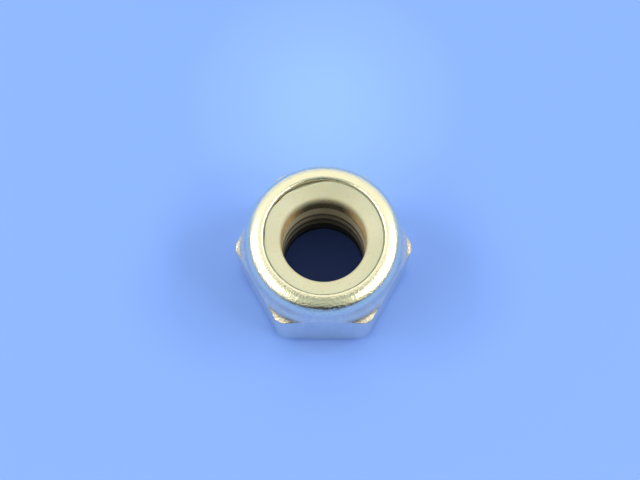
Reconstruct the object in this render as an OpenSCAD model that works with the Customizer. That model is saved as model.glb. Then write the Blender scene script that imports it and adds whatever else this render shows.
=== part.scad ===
// Prevailing torque hex nut with a nylon locking ring, thread size M8.
// Millimetres. The bearing face lies on z = 0, the thread axis is Z and one flat faces -Y.

/* [Hexagon] */
// Width across two opposite flats of the hexagon
across_flats = 13; // [12.9:0.05:13.2]
// Width across opposite corners, which are turned slightly blunt
corner_d = 14.65; // [14.4:0.05:14.7]
// Height at which the upper chamfer leaves the six corner edges
corner_top = 6.2; // [5.9:0.05:6.3]
// Slope of the upper and lower chamfers above the horizontal, in degrees
chamfer_angle = 30; // [25:1:35]
// Diameter of the flat bearing ring under the nut
bearing_d = 12; // [11.4:0.1:12.4]

/* [Collar] */
// Height of the whole nut
nut_height = 9.5; // [9.3:0.1:10.2]
// Outer diameter of the round collar
collar_d = 12.8; // [12.5:0.1:12.8]
// Radius of the rolled shoulder on the collar
shoulder_r = 1.35; // [1.2:0.05:1.4]
// Opening left inside the crimped lip
lip_d = 9.6; // [9.4:0.05:9.6]
// Depth of the inner edge of the lip below the top of the nut
lip_depth = 0.4; // [0.35:0.05:0.5]
// Radius of the fillet that runs from the collar down to the chamfered corners
neck_r = 1.4; // [1.2:0.05:1.5]

/* [Thread] */
// Major diameter of the internal thread
thread_d = 8; // [7.9:0.1:8.1]
// Pitch of the internal thread
thread_pitch = 1.25; // [1:0.25:1.25]
// Minor diameter of the internal thread, near the upper limit of the usual 6H tolerance
minor_d = 6.9; // [6.66:0.02:6.9]
// Diameter of the countersink at the bearing face
entry_d = 8.7; // [8.4:0.1:9]
// Diameter of the countersink under the locking ring
exit_d = 8.4; // [8.2:0.1:8.8]

/* [Locking ring] */
// Diameter of the pocket that holds the ring
pocket_d = 11.1; // [10.8:0.1:11.2]
// Height of the pocket floor
pocket_floor = 6; // [5.8:0.1:6.2]
// Bore of the ring
ring_bore_d = 7; // [7:0.05:7.3]
// Drop of the ring face from the lip to the edge of its bore
ring_dish = 0.75; // [0.5:0.05:0.8]
// Radius of the rounded edge of the bore
ring_edge_r = 0.6; // [0.5:0.05:0.9]

/* [Hidden] */
$fn = 128;
over = 1;
// How far the thread groove starts inside the open bore
groove_overlap = 0.1;
hex_sides = 6;
thread_steps = 40;
corner_r = corner_d / 2;
prism_r = across_flats / 2 / cos(180 / hex_sides);
collar_r = collar_d / 2;
chamfer_slope = tan(chamfer_angle);
collar_base = corner_top + (corner_r - collar_r) * chamfer_slope;
base_chamfer = (corner_r - bearing_d / 2) * chamfer_slope;
// Height at which the neck fillet leaves the collar
neck_z = collar_base + neck_r * (1 / cos(chamfer_angle) - chamfer_slope);
shoulder_z = nut_height - shoulder_r;
crown_r = collar_r - shoulder_r;
lip_r = lip_d / 2;
nose_r = crown_r - lip_r;
lip_under = nut_height - lip_depth;
pocket_r = pocket_d / 2;
minor_r = minor_d / 2;
// ISO metric profile: half of the 60 degree thread angle, and the flat at the root of the groove
flank_angle = 30;
root_flat = thread_pitch / 8;
ring_bore_r = ring_bore_d / 2;
edge_z = lip_under - ring_dish;
dish_angle = atan(ring_dish / (lip_r - ring_bore_r));
// Centre of the rounded edge, touching both the bore and the dished face
edge_centre = [ring_bore_r + ring_edge_r, edge_z - ring_edge_r * (1 - sin(dish_angle)) / cos(dish_angle)];
// Extra radius that keeps a fillet crossing the faces it blends, instead of only touching them
blend = 0.003;

// Half section of the hexagon: a shallow cone under and over its corners, and the neck fillet
module hexagon_section() {
  polygon([
    [0, 0],
    [bearing_d / 2, 0],
    [corner_r, base_chamfer],
    [corner_r, corner_top],
    [collar_r, collar_base],
    [0, collar_base]
  ]);
  translate([collar_r + neck_r, neck_z])
    difference() {
      polygon([
        [0, 0],
        [-2 * neck_r, 0],
        [-2 * neck_r * sin(chamfer_angle), -2 * neck_r * cos(chamfer_angle)]
      ]);
      circle(r = neck_r + blend);
    }
}

// The hexagon: a prism whose corners are turned blunt and which fades into the collar
module hexagon() {
  intersection() {
    cylinder(h = neck_z, r = prism_r, $fn = hex_sides);
    rotate_extrude()
      hexagon_section();
  }
}

// Half section of the collar: wall, rolled shoulder and rounded nose of the lip
module collar_section() {
  square([collar_r, shoulder_z]);
  square([crown_r, nut_height - nose_r]);
  translate([crown_r, shoulder_z])
    intersection() {
      circle(r = shoulder_r);
      square(shoulder_r);
    }
  translate([crown_r, nut_height - nose_r])
    circle(r = nose_r);
}

// Half section of the space inside the collar, from the pocket floor to the open top
module pocket_section() {
  polygon([
    [0, pocket_floor],
    [pocket_r, pocket_floor],
    [pocket_r, shoulder_z],
    [lip_r, lip_under],
    [lip_r, nut_height + over],
    [0, nut_height + over]
  ]);
}

// Corner of the groove profile: radius and height above the middle of the groove
function groove_profile() =
  let (inner_r = minor_r - groove_overlap, root_h = root_flat / 2)
  let (inner_h = root_h + (thread_d / 2 - inner_r) * tan(flank_angle))
  [
    [inner_r, -inner_h],
    [thread_d / 2, -root_h],
    [thread_d / 2, root_h],
    [inner_r, inner_h]
  ];

// Right-hand helical groove that cuts the thread into the minor bore
module thread_groove() {
  profile = groove_profile();
  start_z = -thread_pitch;
  steps = ceil((pocket_floor + 2 * thread_pitch) / thread_pitch * thread_steps);
  points = [
    for (i = [0:steps]) for (p = profile)
      let (a = 360 * i / thread_steps)
      [p[0] * cos(a), p[0] * sin(a), start_z + thread_pitch * i / thread_steps + p[1]]
  ];
  sides = [
    for (i = [0:steps - 1]) for (j = [0:3])
      let (a = 4 * i + j, b = 4 * i + (j + 1) % 4)
      each [[a, b, a + 4], [b, b + 4, a + 4]]
  ];
  last = 4 * steps;
  ends = [[0, 2, 1], [0, 3, 2], [last, last + 1, last + 2], [last, last + 2, last + 3]];
  polyhedron(points = points, faces = concat(sides, ends), convexity = 10);
}

// Half section of the sliver that the rounded edge takes off the corner of the ring
module ring_edge_cut() {
  translate(edge_centre)
    difference() {
      polygon([
        [0, 0],
        [-ring_edge_r - over, 0],
        [-ring_edge_r - over, ring_edge_r + over],
        [-2 * ring_edge_r * sin(dish_angle), 2 * ring_edge_r * cos(dish_angle)]
      ]);
      circle(r = ring_edge_r + blend);
    }
}

// Zinc plated steel body: hexagon, collar, pocket, countersinks and thread
module nut_body() {
  color([0.72, 0.74, 0.70])
    difference() {
      union() {
        hexagon();
        rotate_extrude()
          intersection() {
            collar_section();
            translate([0, pocket_floor - over])
              square([corner_r, nut_height]);
          }
      }
      rotate_extrude()
        pocket_section();
      translate([0, 0, -over])
        cylinder(h = nut_height, r = minor_r);
      translate([0, 0, -over])
        cylinder(h = entry_d / 2 + over - minor_r, r1 = entry_d / 2 + over, r2 = minor_r);
      translate([0, 0, pocket_floor - exit_d / 2 + minor_r])
        cylinder(h = exit_d / 2 + over - minor_r, r1 = minor_r, r2 = exit_d / 2 + over);
      thread_groove();
    }
}

// Nylon ring clamped in the pocket by the lip, with a dished face and a rounded bore edge
module nylon_insert() {
  color([0.90, 0.88, 0.74])
    rotate_extrude()
      difference() {
        pocket_section();
        square([ring_bore_r, nut_height]);
        polygon([
          [0, nut_height + 2 * over],
          [0, edge_z],
          [ring_bore_r, edge_z],
          [lip_r, lip_under],
          [lip_r, nut_height + 2 * over]
        ]);
        ring_edge_cut();
      }
}

nut_body();
nylon_insert();
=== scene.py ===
import math

import bmesh
import bpy
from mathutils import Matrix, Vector


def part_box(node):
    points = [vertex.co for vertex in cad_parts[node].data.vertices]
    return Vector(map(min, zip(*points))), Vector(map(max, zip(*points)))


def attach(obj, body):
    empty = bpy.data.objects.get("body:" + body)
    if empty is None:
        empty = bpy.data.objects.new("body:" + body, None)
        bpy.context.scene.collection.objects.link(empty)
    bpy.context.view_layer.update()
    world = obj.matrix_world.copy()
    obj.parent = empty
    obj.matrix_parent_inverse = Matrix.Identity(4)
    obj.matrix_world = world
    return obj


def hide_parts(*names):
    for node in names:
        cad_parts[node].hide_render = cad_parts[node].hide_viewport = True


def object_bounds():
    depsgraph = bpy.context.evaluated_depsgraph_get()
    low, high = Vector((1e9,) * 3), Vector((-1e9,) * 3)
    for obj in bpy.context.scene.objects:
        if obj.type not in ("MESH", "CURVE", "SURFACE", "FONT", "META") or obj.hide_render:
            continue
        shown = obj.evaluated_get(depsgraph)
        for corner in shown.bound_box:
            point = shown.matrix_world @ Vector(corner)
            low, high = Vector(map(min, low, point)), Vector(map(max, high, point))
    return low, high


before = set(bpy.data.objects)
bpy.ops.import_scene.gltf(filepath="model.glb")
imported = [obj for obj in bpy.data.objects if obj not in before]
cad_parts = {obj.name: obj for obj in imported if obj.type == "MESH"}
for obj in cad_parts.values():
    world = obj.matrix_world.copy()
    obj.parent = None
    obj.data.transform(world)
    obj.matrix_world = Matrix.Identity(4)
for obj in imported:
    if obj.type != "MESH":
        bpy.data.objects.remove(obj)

cad_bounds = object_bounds()
MM = 0.001

# ---------------------------------------------------------------- dimensions, in millimetres
# The bearing face lies on z = 0, the thread axis is Z and one flat faces -Y.

body_low, body_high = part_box("nut_body")
CORNER_R = (body_high[0] - body_low[0]) / 2 / MM
HALF_FLATS = (body_high[1] - body_low[1]) / 2 / MM
HEIGHT = (body_high[2] - body_low[2]) / MM

# hexagon: the slope is that of the chamfers under and over its corners
CHAMFER_SLOPE = math.tan(math.radians(30))
BEARING_R = 6.0
CORNER_TOP = 6.2

# collar: fillet at its foot, rolled shoulder, and the lip bent over the ring
COLLAR_R = 6.4
NECK_R = 1.4
SHOULDER_R = 1.35
SHOULDER_Z = HEIGHT - SHOULDER_R
CROWN_R = COLLAR_R - SHOULDER_R
LIP_R = 4.8
LIP_UNDER = HEIGHT - 0.4

# pocket, thread and the countersinks at both ends of the thread
POCKET_R = 5.55
POCKET_FLOOR = 6.0
MAJOR_R = 4.0
MINOR_R = 3.45
PITCH = 1.25
FLANK_SLOPE = math.tan(math.radians(30))
ENTRY_R = 4.35
EXIT_R = 4.2

# nylon ring: its face drops from the lip to the bore, and a little play keeps it clear of the steel
RING_BORE_R = 3.5
RING_DROP = 0.74
RING_EDGE_Z = LIP_UNDER - RING_DROP
RING_EDGE_R = 0.42
RING_PLAY = 0.03
LIP_PLAY = 0.012
RIM_STAND = 0.14

# softened edges of the steel
EDGE_BLEND = 0.012
BEARING_EDGE_R = 0.4
BASE_EDGE_R = 0.13
TOP_EDGE_R = 0.12
RIDGE_HEIGHT = 0.006


# ---------------------------------------------------------------- mesh helpers

def rounded(points):
    """Round each corner of an open (r, z) path. Each point is (r, z, radius, segments)."""
    lead_length = 0.06
    most_of_side = 0.45
    out = [points[0][:2]]
    for before, here, after in zip(points, points[1:], points[2:]):
        r, z, radius, segments = here
        corner = Vector((r, z))
        a = Vector((before[0] - r, before[1] - z))
        b = Vector((after[0] - r, after[1] - z))
        bend = math.pi - a.angle(b)
        reach = min(radius * math.tan(bend / 2), a.length * most_of_side, b.length * most_of_side)
        radius = reach / math.tan(bend / 2)
        a.normalize()
        b.normalize()
        start = corner + a * reach
        end = corner + b * reach
        centre = corner + (a + b).normalized() * (radius / math.cos(bend / 2))
        lead = min(lead_length, reach)
        out.append(tuple(start + a * lead))
        first = start - centre
        last = end - centre
        for i in range(segments + 1):
            t = i / segments
            turn = (first * math.sin((1 - t) * bend) + last * math.sin(t * bend)) / math.sin(bend)
            out.append(tuple(centre + turn))
        out.append(tuple(end + b * lead))
    out.append(points[-1][:2])
    return out


def turned(path, angle):
    """Points (x, y, z) of an (r, z) path turned to an angle about the thread axis."""
    return [(r * math.cos(angle), r * math.sin(angle), z) for r, z in path]


def ring_mesh(name, columns):
    """A closed surface from equal closed (x, y, z) columns in millimetres, joined all the way round."""
    mesh = bpy.data.meshes.new(name)
    bm = bmesh.new()
    rows = [[bm.verts.new((x * MM, y * MM, z * MM)) for x, y, z in column] for column in columns]
    count = len(columns[0])
    for i, row in enumerate(rows):
        following = rows[(i + 1) % len(rows)]
        for j in range(count):
            k = (j + 1) % count
            bm.faces.new((row[j], following[j], following[k], row[k]))
    bmesh.ops.recalc_face_normals(bm, faces=bm.faces)
    for face in bm.faces:
        face.smooth = True
    bm.to_mesh(mesh)
    bm.free()
    piece = bpy.data.objects.new(name, mesh)
    bpy.context.scene.collection.objects.link(piece)
    return piece


# ---------------------------------------------------------------- steel body

def hexagon_r(angle):
    """Distance from the axis to the hexagon: flat sides and blunt corners, blended at their edges."""
    off = abs((angle + math.pi / 6) % (math.pi / 3) - math.pi / 6)
    side = HALF_FLATS / math.cos(math.pi / 6 - off)
    low = min(side, CORNER_R)
    high = max(side, CORNER_R)
    return low - EDGE_BLEND * math.log1p(math.exp((low - high) / EDGE_BLEND))


def body_angles():
    """Columns round the nut, close together at the edges of each blunt corner. Steps in degrees."""
    near = [0.0, 0.8, 1.4, 1.8, 2.1, 2.35, 2.55, 2.75, 3.0, 3.3, 3.8, 4.6]
    flat = [5.6 + 1.22 * i for i in range(41)]
    steps = near + flat + [60 - a for a in reversed(near[1:])]
    return [math.radians(60 * corner + step) for corner in range(6) for step in steps]


def thread_r(angle, z):
    """Wall of the threaded bore: the helical groove, opened by a countersink at each end."""
    off = (z - PITCH * angle / (2 * math.pi) + PITCH / 2) % PITCH - PITCH / 2
    root_flat = PITCH / 8
    groove = MAJOR_R - max(0.0, abs(off) - root_flat / 2) / FLANK_SLOPE
    return max(MINOR_R, groove, ENTRY_R - z, EXIT_R - (POCKET_FLOOR - z))


def lip_wave(angle):
    """Small unevenness left by rolling the lip over the ring."""
    slow = 0.012 * math.sin(3 * angle + 0.6)
    medium = 0.008 * math.sin(7 * angle + 2.1)
    fine = 0.004 * math.sin(17 * angle)
    return slow + medium + fine


def neck_top(r):
    """Height of the upper side of the hexagon: chamfer cone, then a fillet that rises to the collar."""
    if r > COLLAR_R + NECK_R / 2:
        return CORNER_TOP + (CORNER_R - r) * CHAMFER_SLOPE
    collar_base = CORNER_TOP + (CORNER_R - COLLAR_R) * CHAMFER_SLOPE
    neck_z = collar_base + NECK_R * (2 / math.sqrt(3) - CHAMFER_SLOPE)
    return neck_z - math.sqrt(max(0.0, NECK_R ** 2 - (COLLAR_R + NECK_R - r) ** 2))


def hexagon_path(hex_r, neck_start):
    """From the entry of the thread outward, up the hexagon and over its chamfered corner."""
    return rounded([
        (ENTRY_R, 0.0, 0, 0),
        (BEARING_R, 0.0, BEARING_EDGE_R, 4),
        (hex_r, (hex_r - BEARING_R) * CHAMFER_SLOPE, BASE_EDGE_R, 5),
        (hex_r, neck_top(hex_r), TOP_EDGE_R, 6),
        (neck_start, neck_top(neck_start), 0, 0),
    ])


def neck_path(neck_start):
    """Inward along the chamfer and up the fillet, closer together near the collar."""
    steps = 20
    path = []
    for i in range(1, steps + 1):
        r = neck_start + (COLLAR_R - neck_start) * math.sin(math.pi / 2 * i / steps)
        path.append((r, neck_top(r)))
    return path


def shoulder_path(angle):
    """The rolled shoulder, with shallow ridges that drift a little round the collar."""
    steps = 36
    drift = 0.25 * math.sin(angle) + 2.0
    path = []
    for i in range(steps + 1):
        t = math.radians(90 * i / steps)
        r = SHOULDER_R - RIDGE_HEIGHT * (1 + math.sin(11 * t + drift)) * math.sin(2 * t)
        path.append((CROWN_R + r * math.cos(t), SHOULDER_Z + r * math.sin(t)))
    return path


def lip_path(lip_r):
    """The rounded nose of the lip and its blunt edge over the ring."""
    steps = 12
    edge = 0.05
    nose = CROWN_R - lip_r
    path = []
    for i in range(1, steps + 1):
        t = math.radians(90 + 90 * i / steps)
        path.append((CROWN_R + nose * math.cos(t), HEIGHT - nose + nose * math.sin(t)))
    return path + [(lip_r, LIP_UNDER + edge), (lip_r + edge, LIP_UNDER)]


def pocket_path():
    """Under the lip and down the wall of the pocket to the edge of its floor."""
    edge = 0.05
    return [(POCKET_R, SHOULDER_Z), (POCKET_R, POCKET_FLOOR + edge), (POCKET_R - edge, POCKET_FLOOR)]


def bore_path(angle):
    """Down the threaded bore from the pocket floor to just above the bearing face."""
    rows = 150
    heights = [POCKET_FLOOR * (1 - i / rows) for i in range(rows)]
    return [(thread_r(angle, z), z) for z in heights]


def body_column(angle):
    """Closed outline of the steel at one angle, up the outside and down through the bore."""
    rim_share = 0.35
    hex_r = hexagon_r(angle)
    neck_start = hex_r - rim_share * (hex_r - COLLAR_R)
    outside = hexagon_path(hex_r, neck_start) + neck_path(neck_start) + shoulder_path(angle)
    inside = lip_path(LIP_R + lip_wave(angle)) + pocket_path() + bore_path(angle)
    return turned(outside + inside, angle)


body = ring_mesh("nut_body_steel", [body_column(angle) for angle in body_angles()])


# ---------------------------------------------------------------- nylon ring

def lip_gap(angle):
    """How far the ring has drawn back from the lip, mostly along one stretch of it."""

    def bump(centre, width, depth):
        off = (angle - centre + math.pi) % (2 * math.pi) - math.pi
        return depth * math.exp(-(off / width) ** 2)

    return bump(1.90, 0.30, 0.24) + bump(3.1, 0.10, 0.07) + bump(2.45, 0.12, 0.08)


def ring_column(angle):
    """Closed outline of the ring at one angle: bore, rolled inner edge, dished face and hidden outside."""
    shrink = lip_gap(angle)
    lip_r = LIP_R + lip_wave(angle)
    floor_z = POCKET_FLOOR + RING_PLAY
    outer_r = POCKET_R - RING_PLAY
    foot_edge_r = 0.2
    rim_edge_r = 0.04
    seat_edge_r = 0.02
    hidden_edge_r = 0.1
    seat_depth = 0.04
    seat_play = 0.010
    # the path starts and ends under the ring, where its ends are joined
    path = rounded([
        (outer_r - 0.4, floor_z, 0, 0),
        (RING_BORE_R, floor_z, foot_edge_r, 4),
        (RING_BORE_R, RING_EDGE_Z, RING_EDGE_R, 14),
        (lip_r - LIP_PLAY - shrink, LIP_UNDER + RIM_STAND - shrink, rim_edge_r, 4),
        (lip_r - seat_play, LIP_UNDER - seat_depth - shrink, seat_edge_r, 3),
        (outer_r, SHOULDER_Z - 0.05, hidden_edge_r, 3),
        (outer_r, floor_z, hidden_edge_r, 3),
        (outer_r - 0.3, floor_z, 0, 0),
    ])

    # the face sags unevenly, most of all at the bore
    sag = 0.015 * math.sin(2 * angle + 0.4) + 0.008 * math.sin(5 * angle + 1.0)
    sag_start_z = POCKET_FLOOR + 0.5
    sagging = []
    for r, z in path:
        inward = min(1.0, max(0.0, (LIP_R - r) / (LIP_R - RING_BORE_R)))
        upward = min(1.0, max(0.0, z - sag_start_z))
        sagging.append((r, z + sag * inward * upward))
    return turned(sagging, angle)


RING_STEPS = 288
ring = ring_mesh("nylon_insert_ring", [ring_column(2 * math.pi * i / RING_STEPS) for i in range(RING_STEPS)])


# ---------------------------------------------------------------- materials

class Nodes:
    """Short forms for building a procedural node tree."""

    def __init__(self, tree):
        self.tree = tree

    def add(self, kind, **settings):
        node = self.tree.nodes.new(kind)
        for key, value in settings.items():
            setattr(node, key, value)
        return node

    def link(self, a, b):
        self.tree.links.new(a, b)

    def feed(self, value, socket):
        """Give a socket a constant or the output of another node."""
        if isinstance(value, bpy.types.NodeSocket):
            self.link(value, socket)
        else:
            socket.default_value = value

    def math(self, operation, *values):
        node = self.add("ShaderNodeMath", operation=operation)
        for socket, value in zip(node.inputs, values):
            self.feed(value, socket)
        return node.outputs[0]

    def plus(self, a, b):
        return self.math("ADD", a, b)

    def times(self, a, b):
        return self.math("MULTIPLY", a, b)

    def larger(self, a, b):
        return self.math("MAXIMUM", a, b)

    def ramp(self, value, low, high, to_low=0.0, to_high=1.0, shape="LINEAR"):
        node = self.add("ShaderNodeMapRange", clamp=True, interpolation_type=shape)
        self.link(value, node.inputs["Value"])
        for name, number in (("From Min", low), ("From Max", high), ("To Min", to_low), ("To Max", to_high)):
            node.inputs[name].default_value = number
        return node.outputs["Result"]

    def ramp_mm(self, length, low, high):
        """A ramp from 0 to 1 between two lengths in millimetres."""
        return self.ramp(length, low * MM, high * MM)

    def mix(self, fac, a, b):
        node = self.add("ShaderNodeMix", data_type="RGBA")
        self.link(fac, node.inputs["Factor"])
        first, second = [socket for socket in node.inputs if socket.type == "RGBA"]
        self.feed(a, first)
        self.feed(b, second)
        return [socket for socket in node.outputs if socket.type == "RGBA"][0]

    def noise(self, vector, scale, detail, roughness):
        node = self.add("ShaderNodeTexNoise")
        self.link(vector, node.inputs["Vector"])
        for name, number in (("Scale", scale), ("Detail", detail), ("Roughness", roughness)):
            node.inputs[name].default_value = number
        return node.outputs["Fac"]

    def split(self, vector):
        node = self.add("ShaderNodeSeparateXYZ")
        self.link(vector, node.inputs[0])
        return node.outputs

    def combine(self, x, y, z):
        node = self.add("ShaderNodeCombineXYZ")
        for socket, value in zip(node.inputs, (x, y, z)):
            self.feed(value, socket)
        return node.outputs[0]


class Material(Nodes):
    """A Principled material whose marks are placed in the object's own coordinates."""

    def __init__(self, name):
        self.material = bpy.data.materials.new(name)
        self.material.use_nodes = True
        super().__init__(self.material.node_tree)
        self.tree.nodes.clear()
        self.shader = self.add("ShaderNodeBsdfPrincipled")
        output = self.add("ShaderNodeOutputMaterial")
        self.link(self.shader.outputs["BSDF"], output.inputs["Surface"])
        self.coords = self.add("ShaderNodeTexCoord").outputs["Object"]

    def set(self, **values):
        """Values for the shader's sockets. An underscore stands for a space in a socket's name."""
        for name, value in values.items():
            self.feed(value, self.shader.inputs[name.replace("_", " ")])

    def polar(self):
        """Distance from the thread axis, angle about it in radians, and height."""
        x, y, z = self.split(self.coords)
        radius = self.math("SQRT", self.plus(self.times(x, x), self.times(y, y)))
        return radius, self.math("ARCTAN2", y, x), z

    def distance(self, centre):
        node = self.add("ShaderNodeVectorMath", operation="DISTANCE")
        self.link(self.coords, node.inputs[0])
        node.inputs[1].default_value = centre
        return node.outputs["Value"]

    def stretch(self, scale):
        node = self.add("ShaderNodeMapping")
        self.link(self.coords, node.inputs["Vector"])
        node.inputs["Scale"].default_value = scale
        return node.outputs["Vector"]

    def bump(self, height, strength, distance):
        node = self.add("ShaderNodeBump")
        self.link(height, node.inputs["Height"])
        node.inputs["Strength"].default_value = strength
        node.inputs["Distance"].default_value = distance
        return node.outputs["Normal"]


def steel_material():
    """Zinc plate: grainy and ringed on the rolled collar, finely drawn on the flats, dull in the bore, with
    painted shade deeper down.
    """
    light_streak = (0.88, 0.80, 0.71, 1)
    dark_streak = (0.74, 0.74, 0.68, 1)
    film_tint = (0.80, 0.78, 0.68, 1)
    collar_tint = (0.86, 0.865, 0.70, 1)
    deep_shade = (0.03, 0.035, 0.05, 1)
    upper_shade = (0.33, 0.31, 0.25, 1)
    n = Material("zinc_plated_steel")
    radius, turn, z = n.polar()

    # where each finish lies
    dome_low = SHOULDER_Z + 0.15
    dome_high = SHOULDER_Z + 0.75
    dome = n.ramp_mm(z, dome_low, dome_high)
    bore = n.times(n.ramp_mm(radius, EXIT_R + 0.3, EXIT_R), n.ramp_mm(z, POCKET_FLOOR + 1, POCKET_FLOOR))
    above_neck = n.ramp_mm(z, CORNER_TOP + 0.1, CORNER_TOP + 0.6)
    wall_height = n.times(above_neck, n.ramp_mm(z, dome_high, dome_low))
    collar_wall = n.times(wall_height, n.ramp_mm(radius, COLLAR_R - 0.4, COLLAR_R - 0.2))
    chamfer_height = n.ramp_mm(z, CORNER_TOP - 0.1, CORNER_TOP + 0.05)
    chamfer = n.times(chamfer_height, n.ramp_mm(radius, COLLAR_R + 0.1, COLLAR_R + 0.3))
    flats = n.math("SUBTRACT", 1.0, n.larger(dome, chamfer))

    # rolling marks run round the collar, so they vary quickly with radius and height only
    across = 5200.0
    along = 2.2
    marks_at = n.combine(n.times(radius, across), n.times(z, across), n.times(turn, along))
    marks = n.noise(marks_at, 1.0, 4.0, 0.6)
    grain = n.noise(n.coords, 6200.0, 2.0, 0.6)
    drawn = n.noise(n.stretch((2400.0, 2400.0, 260.0)), 1.0, 3.0, 0.55)
    cloud = n.noise(n.coords, 380.0, 3.0, 0.55)

    streak = n.mix(n.ramp(drawn, 0.42, 0.62), light_streak, dark_streak)
    film = n.mix(n.ramp(cloud, 0.35, 0.65, 0.0, 0.5), streak, film_tint)
    plate = n.mix(dome, film, collar_tint)
    # painted shade: the bore's colour darkens from the pocket floor down towards the bearing face
    shade = n.mix(n.ramp_mm(z, 1.0, POCKET_FLOOR - 0.5), deep_shade, upper_shade)

    satin = n.plus(n.ramp(cloud, 0.3, 0.7, 0.12, 0.2), n.times(bore, 0.5))
    satin = n.plus(satin, n.times(collar_wall, 0.14))

    rolled = n.plus(n.times(n.ramp(marks, 0.3, 0.7), 0.9), n.times(grain, 4.6))
    rolled = n.times(rolled, n.larger(dome, n.times(chamfer, 0.8)))
    plain = n.times(n.plus(n.times(drawn, 2.4), n.times(grain, 0.6)), flats)

    n.set(
        Base_Color=n.mix(bore, plate, shade),
        Metallic=1.0,
        Roughness=n.plus(satin, n.times(grain, 0.08)),
        Normal=n.bump(n.plus(rolled, plain), 0.4, 0.018 * MM),
    )
    return n.material


def nylon_material():
    """Cream nylon with a soft sheen. Its bore wall has painted shade on one side and a painted orange glow
    elsewhere.
    """
    face_low = (0.545, 0.55, 0.43, 1)
    face_high = (0.585, 0.59, 0.47, 1)
    painted_glow_wall = (0.70, 0.50, 0.24, 1)
    painted_shade_wall = (0.085, 0.075, 0.035, 1)
    n = Material("natural_nylon")
    _, turn, z = n.polar()
    cloud = n.noise(n.coords, 300.0, 3.0, 0.5)
    grain = n.noise(n.coords, 3800.0, 3.0, 0.6)
    face = n.mix(n.ramp(cloud, 0.3, 0.7), face_low, face_high)
    # painted shade on the bore wall is centred on +Y; round the sides the wall has a painted orange glow
    wall = n.mix(n.ramp(n.math("SINE", turn), 0.60, 0.90), painted_glow_wall, painted_shade_wall)
    height = n.plus(n.times(cloud, 0.6), n.times(grain, 0.3))
    n.set(
        Base_Color=n.mix(n.ramp_mm(z, RING_EDGE_Z - 1.16, RING_EDGE_Z - 0.26), wall, face),
        Roughness=n.ramp(grain, 0.3, 0.7, 0.24, 0.38),
        IOR=1.53,
        Subsurface_Weight=0.5,
        Subsurface_Radius=(1.0, 0.5, 0.18),
        Subsurface_Scale=1.2 * MM,
        Normal=n.bump(height, 0.25, 0.03 * MM),
    )
    return n.material


def floor_material():
    """Pale blue card, with painted light behind the nut and a painted shadow where it shows through the
    bore.
    """
    card_low = (0.185, 0.345, 0.95, 1)
    card_high = (0.20, 0.365, 0.96, 1)
    painted_light_card = (0.235, 0.42, 0.97, 1)
    painted_shadow_card = (0.07, 0.13, 0.52, 1)
    n = Material("pale_blue_card")
    grain = n.noise(n.coords, 900.0, 3.0, 0.5)
    cloud = n.noise(n.coords, 9.0, 2.0, 0.4)
    card = n.mix(n.ramp(cloud, 0.3, 0.7), card_low, card_high)
    # painted light: the card is lighter in a patch centred 17 mm behind the nut
    lighter = n.mix(n.ramp_mm(n.distance((0, 17 * MM, 0)), 14, 2), card, painted_light_card)
    # painted shadow: the card is dark under the bore, where the nut shades it
    bore_shadow_mask = n.ramp_mm(n.distance((0, 0, 0)), MAJOR_R - 0.2, MAJOR_R + 0.8)
    n.set(
        Base_Color=n.mix(bore_shadow_mask, painted_shadow_card, lighter),
        Roughness=0.8,
        Specular_IOR_Level=0.2,
        Normal=n.bump(grain, 0.05, 0.05 * MM),
    )
    return n.material


body.data.materials.append(steel_material())
ring.data.materials.append(nylon_material())

for piece, node in ((body, "nut_body"), (ring, "nylon_insert")):
    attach(piece, "root")
    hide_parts(node)


# ---------------------------------------------------------------- floor, lights, camera, in metres

FLOOR_HALF_SIZE = 1.2
LIGHT_DISTANCE = 0.40
LIGHT_TARGET = Vector((0, 0, 0.005))
WARM = (1.0, 0.96, 0.84)


def make_floor():
    mesh = bpy.data.meshes.new("floor")
    bm = bmesh.new()
    bmesh.ops.create_grid(bm, x_segments=24, y_segments=24, size=FLOOR_HALF_SIZE)
    bm.to_mesh(mesh)
    bm.free()
    floor = bpy.data.objects.new("floor", mesh)
    bpy.context.scene.collection.objects.link(floor)
    floor.location.z = cad_bounds[0][2]
    floor.data.materials.append(floor_material())


def softbox(name, azimuth, elevation, width, height, power):
    """A rectangular light. Azimuth 0 is in front of the nut, at -Y, and 90 is at +X."""
    a = math.radians(azimuth)
    e = math.radians(elevation)
    data = bpy.data.lights.new(name, "AREA")
    data.shape = "RECTANGLE"
    data.size = width
    data.size_y = height
    data.energy = power
    data.color = WARM
    light = bpy.data.objects.new(name, data)
    direction = Vector((math.sin(a) * math.cos(e), -math.cos(a) * math.cos(e), math.sin(e)))
    light.location = direction * LIGHT_DISTANCE
    light.rotation_euler = (LIGHT_TARGET - light.location).to_track_quat("-Z", "Y").to_euler()
    bpy.context.scene.collection.objects.link(light)


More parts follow.
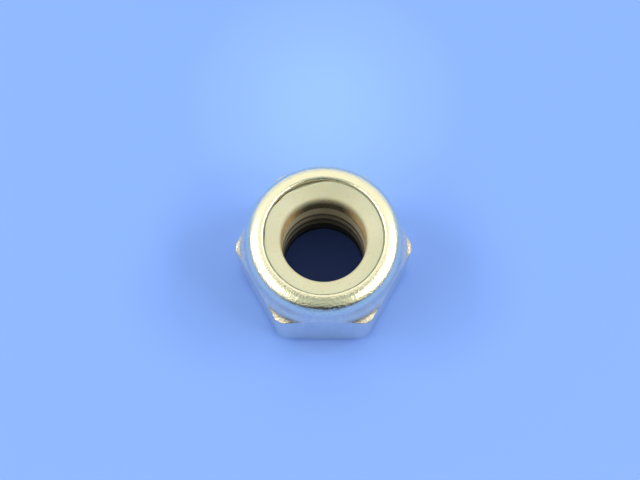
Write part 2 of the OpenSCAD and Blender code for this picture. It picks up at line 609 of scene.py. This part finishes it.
def studio_world():
    """Warm white behind and at both sides, dim in front and overhead, pale blue below the horizon."""
    warm_white = (1.12, 1.06, 0.86, 1)
    dim_white = (0.90, 0.98, 0.82, 1)
    pale_blue = (0.30, 0.51, 1.0, 1)
    world = bpy.data.worlds.new("studio")
    world.use_nodes = True
    n = Nodes(world.node_tree)
    background = n.tree.nodes["Background"]

    def soft(value, low, high, to_low=0.0, to_high=1.0):
        return n.ramp(value, low, high, to_low, to_high, shape="SMOOTHSTEP")

    x, y, z = n.split(n.add("ShaderNodeTexCoord").outputs["Generated"])
    outward = n.plus(n.math("ABSOLUTE", x), soft(z, 0.1, 0.6, 0.0, 0.55))
    lit = n.larger(soft(outward, 0.78, 1.02), soft(y, -0.12, 0.20))
    glow = n.times(soft(z, 0.50, 0.85, 0.012, 0.62), soft(z, 0.95, 0.99, 1.0, 0.12))
    low_band = n.larger(soft(z, 0.16, 0.42, 0.06, 1.0), soft(y, 0.25, 0.55))
    room = n.times(n.larger(lit, glow), low_band)
    backdrop = soft(z, 0.08, 0.13, 1.0, 0.0)
    n.link(n.larger(room, backdrop), background.inputs["Strength"])
    n.link(n.mix(backdrop, n.mix(lit, dim_white, warm_white), pale_blue), background.inputs["Color"])
    bpy.context.scene.world = world


def make_camera():
    """A camera high in front of the nut, looking down at it a little flatter than its own elevation."""
    elevation = math.radians(73)
    pitch_down = math.radians(72)
    distance = 0.0767
    target_z = 0.0039
    side_step = -0.0003
    data = bpy.data.cameras.new("camera")
    data.sensor_width = 36.0
    data.lens = 50.4
    data.clip_start = 0.001
    camera = bpy.data.objects.new("camera", data)
    bpy.context.scene.collection.objects.link(camera)
    camera.location = (side_step, -math.cos(elevation) * distance, math.sin(elevation) * distance + target_z)
    camera.rotation_euler = (math.pi / 2 - pitch_down, 0, 0)
    bpy.context.scene.camera = camera


make_floor()
softbox("key_left", -99, 44, 0.16, 0.12, 0.47)
softbox("key_right", 99, 44, 0.16, 0.12, 0.47)
softbox("fill_left", -66, 46, 0.12, 0.09, 0.16)
softbox("fill_right", 66, 46, 0.09, 0.08, 0.24)
studio_world()
bpy.context.scene.view_settings.view_transform = "Standard"
make_camera()
